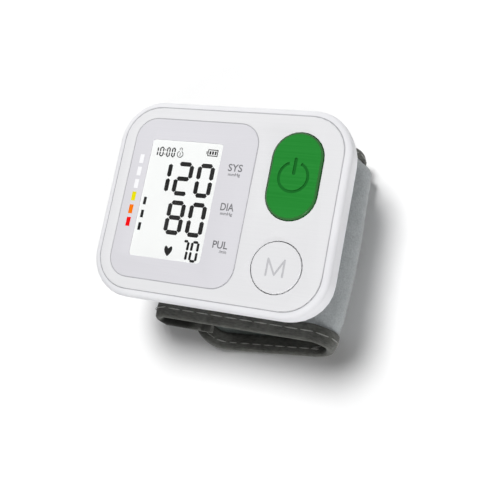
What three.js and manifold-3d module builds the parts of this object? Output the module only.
// Wrist blood pressure monitor lying on its cuff, face up.
// Millimetres, +Z up, +X towards the buttons, +Y towards the top of the display.
// The origin is on the surface that the strap lies on, under the middle of the face.
import * as THREE from "three";
import { mergeVertices } from "three/addons/utils/BufferGeometryUtils.js";
import Module from "manifold-3d";

const wasm = await Module();
wasm.setup();
const { smoothstep, lerp, degToRad } = THREE.MathUtils;

// Clearance between pieces that touch, and how finely arcs are divided
const gap = 0.3;
const cornerSteps = 7;
const roundSides = 14;

// Cuff cloth and its edge binding
const cloth = 0.6;
const loopHeight = 17.2;
const panelHalf = 2.25;
const strapHalf = 1.5;
const edgeHalf = 0.75;
const tapeThickness = 0.45;
const tapeWidth = 6;
const farTapeWidth = 3.4;
const crownInset = 13;
const farCrownInset = 5.6;
const cuffNear = -36.5;
const cuffFar = 32.6;

// Cuff bend at the right, skewed as the strap lies in the photograph
const foldX = 29.6;
const foldSkew = 0.017;
const belly = 0.8;
const bellyStart = 14;
const bellyFull = 42;
const tapePull = 1.1;
const farTapePull = 1.6;
const tuck = 1.2;
const tuckReach = 30;
const tuckTurn = 1.2;
const bendShift = -3.9;
const bendSteps = 12;

// Tab that folds under at the left end of the cuff
const tipX = -29.5;
const tipHalf = 1.5;
const tabHalf = 1.3;
const tabFoldRadius = 2.3;
const tabSlope = 0.12;
const tabShift = -2.2;
const tabEndX = -9;
const tipTaper = 10;
const stiffener = 0.7;
const stiffenerInset = 1;

// Strap on the surface, rising at its round end to the tab
const strapSkew = 0.083;
const strapEndX = -19;
const strapEndRadius = 14;
const strapRiseStart = -1;
const strapRiseEnd = -13;
const hookThickness = 0.8;
const hookLength = 5;
const hookInset = 16;

// Housing
const housingWidth = 82.6;
const housingHeight = 67.6;
const housingDepth = 24.5;
const housingCorner = 14.4;
const leastCorner = 1;
const wall = 2;
const rimRadius = 2;
const rimInset = 2.2;
const frontDepth = 10;
const backInset = 9.5;
const backTurn = degToRad(75);
const backSteps = 7;
const floorThickness = 1.8;
const ledgeWidth = 2.6;
const ledgeThickness = 1.2;

// Cuff base plate and air nipple
const baseThickness = 1.2;
const baseWidth = 52;
const baseHeight = 40;
const baseCorner = 6;
const nippleRadius = 2.2;
const nippleBore = 1.1;
const nippleHeight = 4.2;

// Face pieces
const plateThickness = 1.8;
const panelX = -12.4;
const panelWidth = 45;
const panelHeight = 55;
const panelCorner = 7.2;
const inlayThickness = 0.6;
const windowX = -15.15;
const windowWidth = 26.1;
const windowHeight = 40.3;
const windowCorner = 1.2;
const windowFit = 0.2;
const windowThickness = 0.8;
const windowRecess = 0.1;
const lcdFlange = 2;
const lcdFlangeThickness = 2.4;
const holderFloor = 1;
const holderWall = 1;
const holderLip = 2.5;
const holderRise = 1.8;

// Buttons
const startX = 24.2;
const startY = 11.4;
const startWidth = 16.8;
const startLength = 28.6;
const startProud = 0.9;
const memoryX = 23.8;
const memoryY = -18.07;
const memoryRadius = 8.23;
const memoryProud = 0.2;
const buttonFlange = 0.8;
const buttonFlangeThickness = 1.2;
const stemRadius = 3;
const stemLength = 0.9;
const edgeEase = 0.3;
const domeBase = 4;
const domeTop = 2.6;
const domeSkirt = 0.5;

// Circuit board
const boardDrop = 6.5;
const boardThickness = 1.6;
const boardSide = 8;
const boardEnd = 12.5;
const postRadius = 1.5;
const postInset = 1.9;

// Screws
const bossRadius = 2.6;
const columnRadius = 3.2;
const bossInset = 8.2;
const screwRadius = 1.1;
const screwHeadRadius = 2;
const screwHeadHeight = 2;
const screwSeatBelowPart = 3;
const screwReach = 5.6;

// Batteries and their door
const cellRadius = 5.25;
const cellLength = 44.5;
const cellNub = 1;
const cellNubRadius = 2.75;
const cellPitch = 11.2;
const doorDepth = 11.4;
const trayWall = 1.5;
const traySetback = 3;
const leafThickness = 0.5;
const leafRise = 2.2;
const leafWidth = 7;
const leafSteps = 6;
const contactThickness = 0.6;
const doorRib = 0.5;
const doorRibPitch = 2.4;
const doorPocketDepth = 3.2;
const doorFrame = 1.7;

// Air system
const pumpRadius = 5.6;
const motorLength = 17;
const motorBevel = 0.8;
const motorNose = 1.2;
const motorNoseRadius = 2.4;
const headLength = 12;
const headCorner = 3.8;
const stubRadius = 1.4;
const stubLength = 3;
const manifoldSetback = 8.9;
const manifoldWidth = 8.6;
const manifoldHeight = 6;
const manifoldCorner = 1.6;
const airRow = 4.9;
const hoseRadius = 1.3;
const hoseRise = 0.8;
const hoseSides = 5;
const hoseSteps = 12;
const valveWidth = 11;
const valvePitch = 24;
const valveFoot = 1;
const sensorWidth = 7;
const sensorCorner = 0.8;
const sensorStub = 1;
const buzzerRadius = 4.2;
const buzzerHeight = 4;

// Levels
const panelMid = loopHeight - panelHalf;
const baseZ = loopHeight + gap;
const backZ = baseZ + baseThickness + gap;
const faceZ = backZ + housingDepth;
const partZ = faceZ - frontDepth;
const floorZ = backZ + floorThickness;
const plateZ = faceZ - plateThickness;
const ledgeZ = plateZ - gap;
const boardTop = faceZ - boardDrop;
const boardBottom = boardTop - boardThickness;
const halfWidth = housingWidth / 2;
const halfHeight = housingHeight / 2;

// Closed solid through a stack of rings that have equally many points
function loft(rings) {
  const count = rings[0].length;
  const last = (rings.length - 1) * count;
  const faces = [];
  for (let start = 0; start < last; start += count) {
    for (let k = 0; k < count; k += 1) {
      const a = start + k;
      const b = start + ((k + 1) % count);
      faces.push(a, b, a + count, b, b + count, a + count);
    }
  }
  for (let k = 0; k < count / 2 - 1; k += 1) {
    const [a, b, c, d] = [k, k + 1, count - 2 - k, count - 1 - k];
    faces.push(c, b, a, d, c, a);
    faces.push(last + a, last + b, last + c, last + a, last + c, last + d);
  }
  const geometry = new THREE.BufferGeometry().setFromPoints(rings.flat());
  geometry.setIndex(faces);
  return outward(geometry);
}

// Merges equal points, drops empty triangles and turns the faces outwards
function outward(geometry) {
  const merged = mergeVertices(geometry, 1e-4);
  const place = merged.attributes.position;
  const corner = (i) => new THREE.Vector3().fromBufferAttribute(place, i);
  const kept = [];
  let volume = 0;
  for (let i = 0; i < merged.index.count; i += 3) {
    const [a, b, c] = [0, 1, 2].map((k) => merged.index.getX(i + k));
    if (a !== b && b !== c && c !== a) {
      kept.push([a, b, c]);
      volume += corner(a).dot(corner(b).cross(corner(c)));
    }
  }
  merged.setIndex(kept.flatMap(([a, b, c]) => (volume > 0 ? [a, b, c] : [a, c, b])));
  return merged;
}

function toSolid(geometry) {
  const bare = geometry.clone();
  bare.deleteAttribute("normal");
  bare.deleteAttribute("uv");
  const merged = mergeVertices(bare, 1e-4);
  return new wasm.Manifold(new wasm.Mesh({
    numProp: 3,
    vertProperties: new Float32Array(merged.attributes.position.array),
    triVerts: new Uint32Array(merged.index.array),
  }));
}

function toGeometry(solid) {
  const mesh = solid.getMesh();
  const geometry = new THREE.BufferGeometry();
  geometry.setAttribute("position", new THREE.BufferAttribute(mesh.vertProperties, 3));
  geometry.setIndex(new THREE.BufferAttribute(mesh.triVerts, 1));
  return geometry;
}

function join(first, ...others) {
  return toGeometry(others.reduce((solid, other) => solid.add(toSolid(other)), toSolid(first)));
}

function cut(first, ...others) {
  return toGeometry(others.reduce((solid, other) => solid.subtract(toSolid(other)), toSolid(first)));
}

function common(first, second) {
  return toGeometry(toSolid(first).intersect(toSolid(second)));
}

// Rounded rectangle, anticlockwise from its right side
function outline(halfX, halfY, radius, x = 0, y = 0) {
  const points = [];
  [[1, 1], [-1, 1], [-1, -1], [1, -1]].forEach(([signX, signY], quarter) => {
    for (let k = 0; k <= cornerSteps; k += 1) {
      const angle = (quarter + k / cornerSteps) * Math.PI / 2;
      points.push(new THREE.Vector2(
        x + signX * (halfX - radius) + radius * Math.cos(angle),
        y + signY * (halfY - radius) + radius * Math.sin(angle),
      ));
    }
  });
  return points;
}

const level = (points, z) => points.map((p) => new THREE.Vector3(p.x, p.y, z));

// Flat piece with an outline, between two heights
function slab(points, low, high) {
  return loft([level(points, low), level(points, high)]);
}

function box(lowX, highX, lowY, highY, lowZ, highZ) {
  const geometry = new THREE.BoxGeometry(highX - lowX, highY - lowY, highZ - lowZ);
  return geometry.translate((lowX + highX) / 2, (lowY + highY) / 2, (lowZ + highZ) / 2);
}

function rod(radius, low, high, x, y, sides = roundSides) {
  const geometry = new THREE.CylinderGeometry(radius, radius, high - low, sides);
  return geometry.rotateX(Math.PI / 2).translate(x, y, (low + high) / 2);
}

const housing = new THREE.Group();
const cuff = new THREE.Group();

function add(group, name, geometry, [color, roughness, metalness = 0]) {
  if (!geometry.attributes.normal) {
    geometry.computeVertexNormals();
  }
  const mesh = new THREE.Mesh(geometry, new THREE.MeshStandardMaterial({ color, roughness, metalness }));
  mesh.name = name;
  group.add(mesh);
}

// Colours as seen, with roughness and metalness
const white = [0xe9e8ee, 0.42];
const plateWhite = [0xe6e5ea, 0.36];
const lilac = [0xd9d8e0, 0.4];
const green = [0x1f8729, 0.34];
const clear = [0xf4f6f6, 0.08];
const lcdWhite = [0xf3f5f4, 0.3];
const boardGreen = [0x1d5a37, 0.5];
const steel = [0xb9bcc0, 0.35, 0.9];
const brass = [0xc6a35a, 0.35, 0.9];
const black = [0x1d1e20, 0.5];
const rubber = [0xcfd2d2, 0.7];
const wrap = [0x35506e, 0.35, 0.3];
const velour = [0x8f9696, 0.95];
const lining = [0x3d413b, 0.95];
const tape = [0x2e2f2e, 0.9];

// Housing outline drawn in by some distance at every side
function housingOutline(inset) {
  return outline(halfWidth - inset, halfHeight - inset, Math.max(housingCorner - inset, leastCorner));
}

// Side of the housing: widest under the rim, turning in along a quarter ellipse to the flat back
const sideAcross = backInset / (1 - Math.cos(backTurn));
const sideDown = (housingDepth - rimRadius) / Math.sin(backTurn);
const partTurn = Math.asin((frontDepth - rimRadius) / sideDown);

function sideRings(grow, fromTurn, toTurn, steps) {
  const rings = [];
  for (let k = 0; k <= steps; k += 1) {
    const turn = lerp(fromTurn, toTurn, k / steps);
    const z = faceZ - rimRadius - (sideDown + grow) * Math.sin(turn);
    rings.push(level(housingOutline(sideAcross * (1 - Math.cos(turn)) - grow), z));
  }
  return rings;
}

// Rear part of the housing, grown or shrunk, with straight sides above the parting line
function rearBody(grow, top) {
  const rings = sideRings(grow, partTurn, backTurn, backSteps);
  return loft([rings[0].map((p) => p.clone().setZ(top)), ...rings]);
}

const bosses = [[1, 1], [-1, 1], [-1, -1], [1, -1]].map(([signX, signY]) => (
  { x: signX * (halfWidth - bossInset), y: signY * (halfHeight - bossInset) }
));
const boardHalfX = halfWidth - boardSide;
const boardHalfY = halfHeight - boardEnd;
const airY = -(cellPitch / 2 + cellRadius + gap + trayWall + airRow);
const screwSeat = partZ - screwSeatBelowPart;

function frontShell() {
  const frontSteps = 3;
  const rings = sideRings(0, partTurn, 0, frontSteps);
  const rimSteps = 4;
  for (let k = 1; k <= rimSteps; k += 1) {
    const turn = Math.PI / 2 * k / rimSteps;
    const inset = rimRadius * (1 - Math.cos(turn));
    rings.push(level(housingOutline(inset), faceZ - rimRadius + rimRadius * Math.sin(turn)));
  }
  const wallInset = wall + sideAcross * (1 - Math.cos(partTurn));
  const hollow = cut(
    loft(rings),
    slab(housingOutline(wallInset), partZ - gap, ledgeZ - ledgeThickness),
    slab(housingOutline(rimInset + ledgeWidth), partZ, faceZ),
    slab(housingOutline(rimInset), ledgeZ, faceZ + gap),
  );
  const posts = bosses.map(({ x, y }) => rod(bossRadius, partZ, ledgeZ, x, y));
  const holes = bosses.map(({ x, y }) => (
    rod(screwRadius + gap, partZ - gap, partZ + screwReach + gap, x, y)
  ));
  return cut(join(hollow, ...posts), ...holes);
}

// Block that the door fills, up to some depth and drawn in by a clearance
function doorSpan(right, clearance) {
  const half = cellPitch / 2 + cellRadius + gap - clearance;
  const top = cellZ + cellRadius + gap - clearance;
  return box(-halfWidth - gap, right, -half, half, floorZ + clearance, top);
}

function rearShell() {
  const full = rearBody(0, partZ - gap);
  const hollow = cut(full, rearBody(-wall, partZ));
  const floor = common(full, box(-halfWidth, halfWidth, -halfHeight, halfHeight, backZ - gap, floorZ));
  const columns = bosses.map(({ x, y }) => common(full, rod(columnRadius, backZ, partZ - gap, x, y)));
  const posts = boardPosts.map(({ x, y }) => (
    common(full, rod(postRadius, floorZ - gap, boardBottom - gap, x, y))
  ));
  const holes = bosses.flatMap(({ x, y }) => [
    rod(screwRadius + gap, backZ - gap, partZ, x, y),
    rod(screwHeadRadius + gap, backZ - gap, screwSeat, x, y),
  ]);
  const air = rod(nippleRadius + gap, backZ - gap, floorZ + gap, manifoldX, airY);
  const body = join(hollow, floor, ...columns, ...posts);
  return cut(body, ...holes, air, doorSpan(cellLeft + traySetback, 0));
}

const boardPosts = [[1, 1], [-1, 1], [-1, -1], [1, -1]].map(([signX, signY]) => (
  { x: signX * (boardHalfX - postInset), y: signY * (boardHalfY - postInset) }
));

const keyOutline = (grow) => (
  outline(startWidth / 2 + grow, startLength / 2 + grow, startWidth / 2 + grow, startX, startY)
);
const memoryOutline = (grow) => {
  const radius = memoryRadius + grow;
  return outline(radius, radius, radius, memoryX, memoryY);
};
const windowOutline = (grow) => (
  outline(windowWidth / 2 + grow, windowHeight / 2 + grow, windowCorner + Math.max(grow, 0), windowX)
);
const panelOutline = (grow) => (
  outline(panelWidth / 2 + grow, panelHeight / 2 + grow, panelCorner + grow, panelX)
);

function frontPlate() {
  return cut(
    slab(housingOutline(rimInset + gap), plateZ, faceZ),
    slab(panelOutline(gap / 2), faceZ - inlayThickness - gap, faceZ + gap),
    slab(windowOutline(0), plateZ - gap, faceZ),
    slab(keyOutline(gap), plateZ - gap, faceZ + gap),
    slab(memoryOutline(gap), plateZ - gap, faceZ + gap),
  );
}

function displayPanel() {
  return cut(
    slab(panelOutline(-gap / 2), faceZ - inlayThickness, faceZ),
    slab(windowOutline(0), faceZ - plateThickness, faceZ + gap),
  );
}

const windowTop = faceZ - windowRecess;
const windowLow = windowTop - windowThickness;
const lcdBottom = plateZ - gap - lcdFlangeThickness;

// Display with a wide lower part under the plate and a step up to the back of the window
function lcdModule() {
  const flange = windowOutline(lcdFlange);
  const step = windowOutline(-windowFit);
  return loft([
    level(flange, lcdBottom),
    level(flange, plateZ - gap),
    level(step, plateZ - gap),
    level(step, windowLow - gap),
  ]);
}

function lcdHolder() {
  const grow = lcdFlange + gap;
  return cut(
    slab(windowOutline(grow + holderWall), boardTop + gap, lcdBottom + holderRise),
    slab(windowOutline(grow), boardTop + gap + holderFloor, faceZ),
    slab(windowOutline(grow - holderLip), boardTop, faceZ),
  );
}

// Key cap with a flange under the plate, a rounded top edge and a stem over its dome
function keyCap(shape, proud, edge, stem) {
  const flangeTop = plateZ - gap;
  const flangeLow = flangeTop - buttonFlangeThickness;
  const top = faceZ + proud;
  return loft([
    level(stem, flangeLow - stemLength),
    level(stem, flangeLow),
    level(shape(buttonFlange), flangeLow),
    level(shape(buttonFlange), flangeTop),
    level(shape(0), flangeTop),
    level(shape(0), top - edge),
    level(shape(-edgeEase * edge), top - edgeEase * edge),
    level(shape(-edge), top),
  ]);
}

function keyDome() {
  const height = plateZ - gap - buttonFlangeThickness - stemLength - gap - (boardTop + gap);
  const profile = [[0, 0], [domeBase, 0], [domeBase, domeSkirt], [domeTop, height], [0, height]];
  const shape = new THREE.LatheGeometry(profile.map(([x, y]) => new THREE.Vector2(x, y)), roundSides);
  return shape.rotateX(Math.PI / 2).translate(0, 0, boardTop + gap);
}

function circuitBoard() {
  return slab(outline(boardHalfX, boardHalfY, postInset), boardBottom, boardTop);
}

// Screw with a flat round head below and its shank up through both bosses
function screw(x, y) {
  const shape = (radius) => outline(radius, radius, radius, x, y);
  const seat = screwSeat - gap;
  return loft([
    level(shape(screwHeadRadius), seat - screwHeadHeight),
    level(shape(screwHeadRadius), seat),
    level(shape(screwRadius), seat),
    level(shape(screwRadius), partZ + screwReach),
  ]);
}

const cellLeft = doorDepth - halfWidth;
const cellZ = floorZ + gap + cellRadius;
const cellRight = cellLeft + cellLength;
const trayRight = cellRight + gap + leafRise + gap;

function cell(side) {
  const profile = [
    [0, 0], [cellRadius, 0], [cellRadius, cellLength - cellNub],
    [cellNubRadius, cellLength - cellNub], [cellNubRadius, cellLength], [0, cellLength],
  ];
  const shape = new THREE.LatheGeometry(profile.map(([x, y]) => new THREE.Vector2(x, y)), roundSides);
  shape.rotateZ(side > 0 ? -Math.PI / 2 : Math.PI / 2);
  return shape.translate(side > 0 ? cellLeft : cellRight, side * cellPitch / 2, cellZ);
}

// Tray over the cells: a roof, two sides and an end wall, open below and towards the door
function batteryTray() {
  const inner = cellPitch / 2 + cellRadius + gap;
  const roof = cellZ + cellRadius + gap;
  const left = cellLeft + traySetback;
  return cut(
    box(left, trayRight + trayWall, -inner - trayWall, inner + trayWall, floorZ + gap, roof + trayWall),
    box(left - gap, trayRight, -inner, inner, floorZ, roof),
  );
}

// Bowed strip that presses on one cell at the closed end of the tray
function leaf(side) {
  const right = trayRight - gap;
  const reach = cellRadius - gap;
  const bow = (offset) => [[right + offset, -reach], [right - leafRise + leafThickness + offset, 0],
    [right + offset, reach]];
  const curve = (points) => (
    new THREE.QuadraticBezierCurve(...points.map(([x, z]) => new THREE.Vector2(x, z)))
  );
  const face = curve(bow(-leafThickness)).getPoints(leafSteps);
  const back = curve(bow(0)).getPoints(leafSteps);
  const ring = (y) => [...face, ...back.reverse()].map((p) => new THREE.Vector3(p.x, y, cellZ + p.y));
  const middle = side * cellPitch / 2;
  const low = ring(middle - leafWidth / 2);
  back.reverse();
  return loft([low, ring(middle + leafWidth / 2)]);
}

function batteryDoor() {
  const open = cellLeft - gap - contactThickness - gap;
  const plug = common(rearBody(0, partZ), doorSpan(open, gap));
  const grip = [-1, 0, 1].map((k) => common(
    rearBody(doorRib, partZ),
    box(-halfWidth - doorRib, cellLeft - wall, -cellRadius, cellRadius,
      cellZ + k * doorRibPitch - doorRib, cellZ + k * doorRibPitch + doorRib),
  ));
  const reach = cellPitch / 2 + cellRadius - doorFrame;
  const pockets = [[-reach, -doorFrame / 2], [doorFrame / 2, reach]].map(([low, high]) => box(
    open - doorPocketDepth, open + gap, low, high, floorZ + gap + doorFrame, cellZ + cellRadius - doorFrame,
  ));
  return cut(join(plug, ...grip), ...pockets);
}

function doorContact() {
  const right = cellLeft - gap;
  const half = cellPitch / 2 + cellRadius - doorFrame;
  return box(right - contactThickness, right, -half, half,
    floorZ + gap + doorFrame, cellZ + cellRadius - doorFrame);
}

// The pump lies along the tray's far side, and its outlet points to the right
const trayEnd = trayRight + trayWall;
const pumpY = cellPitch / 2 + cellRadius + gap + trayWall + gap + pumpRadius;
const pumpZ = floorZ + gap + pumpRadius;
const hoseX = trayEnd + gap + hoseRadius;
const hoseStart = hoseX - 3 * hoseRadius;
const headRight = hoseStart - gap - stubLength;
const headLeft = headRight - headLength;

function pumpMotor() {
  const shoulder = motorLength - motorNose;
  const profile = [
    [0, 0], [pumpRadius, 0], [pumpRadius, shoulder - motorBevel], [pumpRadius - motorBevel, shoulder],
    [motorNoseRadius, shoulder], [motorNoseRadius, motorLength], [0, motorLength],
  ];
  const shape = new THREE.LatheGeometry(profile.map(([x, y]) => new THREE.Vector2(x, y)), roundSides);
  return shape.rotateZ(Math.PI / 2).translate(headLeft - gap, pumpY, pumpZ);
}

function pumpHead() {
  const body = outline(pumpRadius, pumpRadius, headCorner).map((p) => (
    new THREE.Vector3(headLeft, pumpY + p.x, pumpZ + p.y)
  ));
  const block = loft([body, body.map((p) => p.clone().setX(headRight))]);
  const stub = new THREE.CylinderGeometry(stubRadius, stubRadius, stubLength + gap, roundSides);
  stub.rotateZ(Math.PI / 2).translate(headRight + (stubLength - gap) / 2, pumpY, pumpZ);
  return join(block, stub);
}

const manifoldX = trayEnd - manifoldSetback;
const valveX = manifoldX - valvePitch;
const manifoldLow = floorZ + nippleHeight + gap;
const manifoldMid = manifoldLow + manifoldHeight / 2;
const manifoldHalf = manifoldWidth / 2;

function airManifold() {
  const shape = outline(manifoldHalf, airRow - 2 * gap, manifoldCorner, manifoldX, airY);
  return cut(
    slab(shape, manifoldLow, manifoldLow + manifoldHeight),
    rod(nippleBore, manifoldLow - gap, manifoldMid, manifoldX, airY),
  );
}

// Round hose along a curve through a few points
function hose(points) {
  const route = new THREE.CatmullRomCurve3(points.map((p) => new THREE.Vector3(...p)));
  const section = new THREE.Shape().absarc(0, 0, hoseRadius, 0, Math.PI * 2);
  const sweep = { curveSegments: hoseSides, steps: hoseSteps, extrudePath: route };
  return new THREE.ExtrudeGeometry(section, sweep);
}

// Both ends run straight for one hose diameter before the hose turns
function pumpHose() {
  const turn = 2 * hoseRadius;
  const end = manifoldX + manifoldHalf + gap;
  return hose([
    [hoseStart, pumpY, pumpZ],
    [hoseStart + turn, pumpY, pumpZ],
    [hoseX, pumpY - turn, pumpZ],
    [hoseX, (pumpY + airY) / 2, (pumpZ + manifoldMid) / 2],
    [hoseX, airY + turn, manifoldMid],
    [end + turn, airY, manifoldMid],
    [end, airY, manifoldMid],
  ]);
}

function valveHose() {
  const right = manifoldX - manifoldHalf - gap;
  const left = valveX + valveWidth / 2 + gap;
  return hose([
    [right, airY, manifoldMid],
    [(right + left) / 2, airY, manifoldMid + hoseRise],
    [left, airY, manifoldMid],
  ]);
}

function releaseValve() {
  const half = airRow - 2 * gap;
  const low = manifoldMid - half;
  const body = slab(outline(valveWidth / 2, half, valveFoot, valveX, airY), low, boardBottom - gap);
  return join(body, rod(half - valveFoot, low - valveFoot, manifoldMid, valveX, airY));
}

function pressureSensor() {
  const half = sensorWidth / 2;
  const bottom = manifoldLow + manifoldHeight + gap;
  return join(
    slab(outline(half, half, sensorCorner, manifoldX, airY), bottom + sensorStub, boardBottom - gap),
    rod(stubRadius, bottom, bottom + 2 * sensorStub, manifoldX, airY),
  );
}

function airNipple() {
  const low = panelMid + panelHalf - cloth;
  return cut(
    rod(nippleRadius, low, floorZ + nippleHeight, manifoldX, airY),
    rod(nippleBore, low - gap, floorZ + nippleHeight + gap, manifoldX, airY),
  );
}

function basePlate() {
  return cut(
    slab(outline(baseWidth / 2, baseHeight / 2, baseCorner), baseZ, baseZ + baseThickness),
    rod(nippleRadius + gap, baseZ - gap, backZ, manifoldX, airY),
  );
}

// A station of a cloth band is a middle point, its outer normal, the half thickness of the padding,
// how far the band has shifted along Y there, how much it leans with the skewed bend and how far it
// is from a round end.
const flatStation = (x, half) => ({
  x, z: panelMid, nx: 0, nz: 1, half, shift: 0, lean: smoothstep(x, 0, foldX), fromEnd: Infinity,
});

const tabFoldX = tipX + tabFoldRadius + tipHalf;
const tabTurn = Math.PI - Math.atan(tabSlope);

function panelStations() {
  const right = foldX - gap / 2;
  const taperStart = tabFoldX + tipTaper;
  const leaning = [0, 1 / 3, 2 / 3, 1].map((share) => lerp(right, 0, share));
  const stations = [...leaning, taperStart].map((x) => flatStation(x, panelHalf));
  stations.push(flatStation(tabFoldX + tipTaper / 2, (panelHalf + tipHalf) / 2));
  const foldSteps = 8;
  for (let k = 0; k <= foldSteps; k += 1) {
    const angle = Math.PI / 2 + tabTurn * k / foldSteps;
    stations.push({
      x: tabFoldX + tabFoldRadius * Math.cos(angle),
      z: panelMid - tabFoldRadius + tabFoldRadius * Math.sin(angle),
      nx: Math.cos(angle),
      nz: Math.sin(angle),
      half: lerp(tipHalf, tabHalf, k / foldSteps),
      shift: tabShift * k / foldSteps,
      lean: 0,
      fromEnd: Infinity,
    });
  }
  const turned = stations.at(-1);
  stations.push({ ...turned, x: tabEndX, z: turned.z - tabSlope * (tabEndX - turned.x) });
  return stations;
}

function bendStations() {
  const radius = loopHeight / 2;
  const stations = [];
  for (let k = 0; k <= bendSteps; k += 1) {
    const angle = Math.PI / 2 - Math.PI * k / bendSteps;
    const half = lerp(panelHalf, strapHalf, k / bendSteps);
    stations.push({
      x: foldX + gap / 2 + (radius - half) * Math.cos(angle),
      z: radius + (radius - half) * Math.sin(angle),
      nx: Math.cos(angle),
      nz: Math.sin(angle),
      half,
      shift: bendShift * k / bendSteps,
      lean: 1,
      fromEnd: Infinity,
    });
  }
  return stations;
}

// Height of the strap above the surface: it climbs so that its hooks meet the tab from below
const tabUnder = (x) => {
  const turned = panelStations().at(-2);
  const drop = Math.hypot(1, tabSlope) * tabHalf;
  return turned.z - drop - tabSlope * (x - turned.x);
};
const strapTop = tabUnder(strapRiseEnd) - gap - hookThickness - gap;
const strapRise = strapTop - 2 * strapHalf;

function strapHeight(x) {
  const climb = strapRise * smoothstep(strapRiseStart - x, 0, strapRiseStart - strapRiseEnd);
  return climb + tabSlope * Math.max(strapRiseEnd - x, 0);
}

function strapStation(x) {
  const step = 0.05;
  const slope = (strapHeight(x + step) - strapHeight(x - step)) / (2 * step);
  const length = Math.hypot(1, slope);
  return {
    x,
    z: strapHalf + strapHeight(x),
    nx: slope / length,
    nz: -1 / length,
    half: strapHalf,
    shift: bendShift - strapSkew * (foldX - x),
    lean: 1,
    fromEnd: x - strapEndX,
  };
}

function strapStations(end) {
  const right = foldX - gap / 2;
  const flat = [right, (right + strapRiseStart) / 2, strapRiseStart];
  const turned = [];
  const steps = 10;
  for (let k = 1; k <= steps; k += 1) {
    turned.push(lerp(strapRiseStart, end, Math.sin(Math.PI / 2 * k / steps)));
  }
  return [...flat, ...turned].map(strapStation);
}

// The padding bulges out at the middle of the bend, most towards the far edge
function bulge(s, y) {
  const rise = smoothstep(y - cuffNear, bellyStart, bellyFull);
  const fall = smoothstep(cuffFar - y, farTapeWidth, farCrownInset);
  return belly * Math.max(s.nx, 0) * s.lean * rise * fall;
}

// The edge binding draws the lower part of the bend in towards its edges
function drawIn(s, y) {
  const atTape = 1 - smoothstep(y - cuffNear, 0, tapeWidth);
  const beside = 1 - smoothstep(y - cuffNear, 0, tuckReach);
  const atFarTape = 1 - smoothstep(cuffFar - y, farTapeWidth, farCrownInset);
  const bent = smoothstep(1 - s.nz, 0, tuckTurn) * smoothstep(s.x, 0, foldX);
  return (tapePull * atTape + tuck * beside + farTapePull * atFarTape) * bent;
}

function place(s, y, n) {
  const out = n + bulge(s, y);
  const x = s.x + out * s.nx - foldSkew * s.lean * y - drawIn(s, y);
  return new THREE.Vector3(x, y + s.shift, s.z + out * s.nz);
}

// Carries a section, given as an outer and an inner row of [y, offset] pairs, along the stations
function band(stations, rows) {
  return loft(stations.map((s) => {
    const [outer, inner] = rows(s);
    return [...outer, ...inner.reverse()].map(([y, n]) => place(s, y, n));
  }));
}

// Distance from a long edge to the line that lies some way inside the band's outline
function edgeOffset(s, inset) {
  const toCentre = Math.max(strapEndRadius - s.fromEnd, 0);
  const radius = Math.max(strapEndRadius - inset, 0);
  const reach = Math.sqrt(Math.max(radius ** 2 - toCentre ** 2, 0));
  return Math.max(strapEndRadius - reach, inset);
}

// The binding is narrower at the far edge, and the padding fills out closer to it there
const farShare = (y) => smoothstep(y, cuffNear + strapEndRadius, cuffFar - strapEndRadius);
const bindingWidth = (y) => lerp(tapeWidth, farTapeWidth, farShare(y));
const crownReach = (y) => lerp(crownInset, farCrownInset, farShare(y));

// Half thickness across the band: thin under the binding, full on the crown
function crown(s, y) {
  const side = Math.min(y - cuffNear, cuffFar - y);
  const corner = Math.hypot(strapEndRadius - s.fromEnd, strapEndRadius - side);
  const round = s.fromEnd < strapEndRadius && side < strapEndRadius;
  const inset = round ? strapEndRadius - corner : Math.min(side, s.fromEnd);
  return lerp(edgeHalf, s.half, smoothstep(inset, bindingWidth(y) + gap, crownReach(y)));
}

const clothInset = tapeThickness + gap;
const clothInsets = (width, full) => [clothInset, width + gap, (width + full) / 2, full];
const crownShares = [0.22, 0.45, 0.7];
const crownRows = (low, high) => [low, ...crownShares.map((share) => lerp(low, high, share)), high];
const across = (s) => {
  const nearInsets = clothInsets(tapeWidth, crownInset);
  const farInsets = clothInsets(farTapeWidth, farCrownInset);
  const near = nearInsets.map((inset) => cuffNear + edgeOffset(s, inset));
  const far = farInsets.map((inset) => cuffFar - edgeOffset(s, inset)).reverse();
  return [...near.slice(0, -1), ...crownRows(near.at(-1), far[0]), ...far.slice(1)];
};
const coverRows = (s) => [
  across(s).map((y) => [y, crown(s, y)]),
  across(s).map((y) => [y, crown(s, y) - cloth]),
];
const liningRows = (s) => [
  across(s).map((y) => [y, cloth - crown(s, y)]),
  across(s).map((y) => [y, -crown(s, y)]),
];

// Filling between the two cloths, rounded off towards its long edges
const fillRows = (s) => {
  const full = s.half - cloth - gap;
  const thin = full / 2;
  const round = 2 * full;
  const low = cuffNear + crownInset;
  const high = cuffFar - crownInset;
  const crest = crownRows(low + round, high - round).map((y) => [y, full]);
  const section = [[low, thin], ...crest, [high, thin]];
  return [section, section.map(([y, n]) => [y, -n])];
};

// Binding folded round an edge: offsets from the edge and from the middle of the cloth
const tapeOuter = edgeHalf + gap + tapeThickness;
const tapeRound = 0.6;
const tapeSection = (width) => [
  [[width, tapeOuter], [tapeRound, tapeOuter], [0, tapeOuter - tapeRound],
    [0, tapeRound - tapeOuter], [tapeRound, -tapeOuter], [width, -tapeOuter]],
  [[width, edgeHalf + gap], [tapeRound + tapeThickness, edgeHalf + gap],
    [tapeThickness, edgeHalf + gap - tapeRound / 2], [tapeThickness, tapeRound / 2 - edgeHalf - gap],
    [tapeRound + tapeThickness, -edgeHalf - gap], [width, -edgeHalf - gap]],
];
const nearTape = () => tapeSection(tapeWidth).map((row) => row.map(([d, n]) => [cuffNear + d, n]));
const farTape = () => tapeSection(farTapeWidth).map((row) => row.map(([d, n]) => [cuffFar - d, n]));

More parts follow.
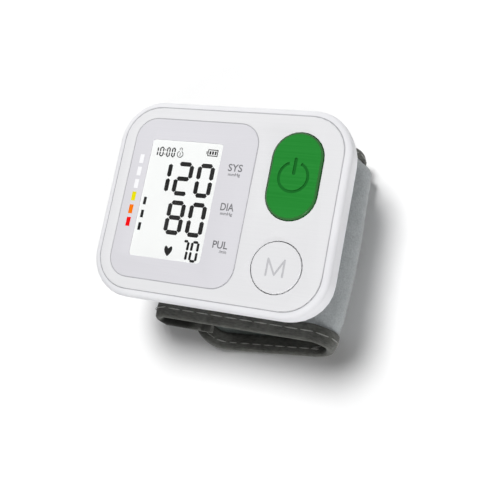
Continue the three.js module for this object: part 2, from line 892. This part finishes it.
// Binding of the strap, in one piece round its near edge, round end and far edge
function strapTape() {
  const right = foldX - gap / 2;
  const route = [];
  const straight = [right, (right + strapRiseStart) / 2, strapRiseStart];
  const centre = strapEndX + strapEndRadius;
  const turnSteps = 8;
  straight.forEach((x) => route.push({ x, y: cuffNear, inX: 0, inY: 1 }));
  [[cuffNear + strapEndRadius, -1, 0], [cuffFar - strapEndRadius, 1, 1]].forEach(([y, side, from]) => {
    for (let k = 0; k <= turnSteps; k += 1) {
      const turn = Math.PI / 2 * (from ? turnSteps - k : k) / turnSteps;
      route.push({
        x: centre - strapEndRadius * Math.sin(turn),
        y: y + side * strapEndRadius * Math.cos(turn),
        inX: Math.sin(turn),
        inY: -side * Math.cos(turn),
      });
    }
  });
  [...straight].reverse().forEach((x) => route.push({ x, y: cuffFar, inX: 0, inY: -1 }));
  return loft(route.map((p) => {
    const [outer, inner] = tapeSection(bindingWidth(p.y));
    return [...outer, ...inner.reverse()].map(([d, n]) => (
      place(strapStation(p.x + d * p.inX), p.y + d * p.inY, n)
    ));
  }));
}

function hookPatch() {
  const stations = [0, 1 / 2, 1].map((share) => strapStation(strapRiseEnd - share * hookLength));
  const low = cuffNear + hookInset;
  const high = cuffFar - hookInset;
  return band(stations, (s) => {
    const near = -strapHalf - gap;
    const far = near - hookThickness;
    return [[[low, near], [high, near]], [[low, far], [high, far]]];
  });
}

function tabStiffener() {
  const [start, end] = panelStations().slice(-2);
  const share = stiffenerInset / (end.x - start.x);
  const ends = [share, 1 - share].map((t) => (
    { ...start, x: lerp(start.x, end.x, t), z: lerp(start.z, end.z, t) }
  ));
  const low = cuffNear + crownInset;
  const high = cuffFar - crownInset;
  const half = stiffener / 2;
  return band(ends, () => [[[low, half], [high, half]], [[low, -half], [high, -half]]]);
}

function bladderStations() {
  return panelStations().slice(0, 4).map((s, k) => (k === 0 ? { ...s, x: s.x - gap } : s));
}

add(housing, "front_shell", frontShell(), white);
add(housing, "rear_shell", rearShell(), white);
add(housing, "front_plate", frontPlate(), plateWhite);
add(housing, "display_panel", displayPanel(), lilac);
add(housing, "display_window", slab(windowOutline(-windowFit), windowLow, windowTop), clear);
add(housing, "lcd_module", lcdModule(), lcdWhite);
add(housing, "lcd_holder", lcdHolder(), black);
add(housing, "circuit_board", circuitBoard(), boardGreen);
const startStem = outline(stemRadius, stemRadius, stemRadius, startX, startY);
const memoryStem = outline(stemRadius, stemRadius, stemRadius, memoryX, memoryY);
add(housing, "start_button", keyCap(keyOutline, startProud, startProud, startStem), green);
add(housing, "memory_button", keyCap(memoryOutline, memoryProud, 2 * memoryProud, memoryStem), plateWhite);
add(housing, "start_key_dome", keyDome().translate(startX, startY, 0), rubber);
add(housing, "memory_key_dome", keyDome().translate(memoryX, memoryY, 0), rubber);
bosses.forEach(({ x, y }, k) => add(housing, `housing_screw_${k + 1}`, screw(x, y), steel));
add(housing, "battery_tray", batteryTray(), white);
[1, -1].forEach((side, k) => {
  add(housing, `battery_${k + 1}`, cell(side), wrap);
  add(housing, `battery_leaf_${k + 1}`, leaf(side), brass);
});
add(housing, "battery_door", batteryDoor(), white);
add(housing, "door_contact", doorContact(), brass);
add(housing, "pump_motor", pumpMotor(), steel);
add(housing, "pump_head", pumpHead(), black);
add(housing, "pump_hose", pumpHose(), rubber);
add(housing, "air_manifold", airManifold(), black);
add(housing, "valve_hose", valveHose(), rubber);
add(housing, "release_valve", releaseValve(), black);
add(housing, "pressure_sensor", pressureSensor(), black);
const buzzerTop = boardBottom - gap;
const buzzerX = (valveX + manifoldX) / 2;
add(housing, "buzzer", rod(buzzerRadius, buzzerTop - buzzerHeight, buzzerTop, buzzerX, airY), black);
add(housing, "cuff_base_plate", basePlate(), white);
add(housing, "air_nipple", airNipple(), white);

const nippleHole = rod(nippleRadius + gap, panelMid, baseZ, manifoldX, airY);
add(cuff, "cuff_cover", cut(band(panelStations(), coverRows), nippleHole), velour);
add(cuff, "cuff_lining", band(panelStations(), liningRows), lining);
add(cuff, "cuff_bladder", band(bladderStations(), fillRows), rubber);
add(cuff, "cuff_tape_near", band(panelStations(), nearTape), tape);
add(cuff, "cuff_tape_far", band(panelStations(), farTape), tape);
add(cuff, "tab_stiffener", tabStiffener(), white);
add(cuff, "bend_cover", band(bendStations(), coverRows), velour);
add(cuff, "bend_lining", band(bendStations(), liningRows), lining);
add(cuff, "bend_pad", band(bendStations(), fillRows), rubber);
add(cuff, "bend_tape_near", band(bendStations(), nearTape), tape);
add(cuff, "bend_tape_far", band(bendStations(), farTape), tape);
add(cuff, "strap_cover", band(strapStations(strapEndX + clothInset), coverRows), velour);
add(cuff, "strap_lining", band(strapStations(strapEndX + clothInset), liningRows), lining);
add(cuff, "strap_pad", band(strapStations(strapRiseStart).slice(0, 3), fillRows), rubber);
add(cuff, "strap_tape", strapTape(), tape);
add(cuff, "strap_hooks", hookPatch(), black);

const monitor = new THREE.Group();
monitor.add(housing, cuff);

export default monitor;
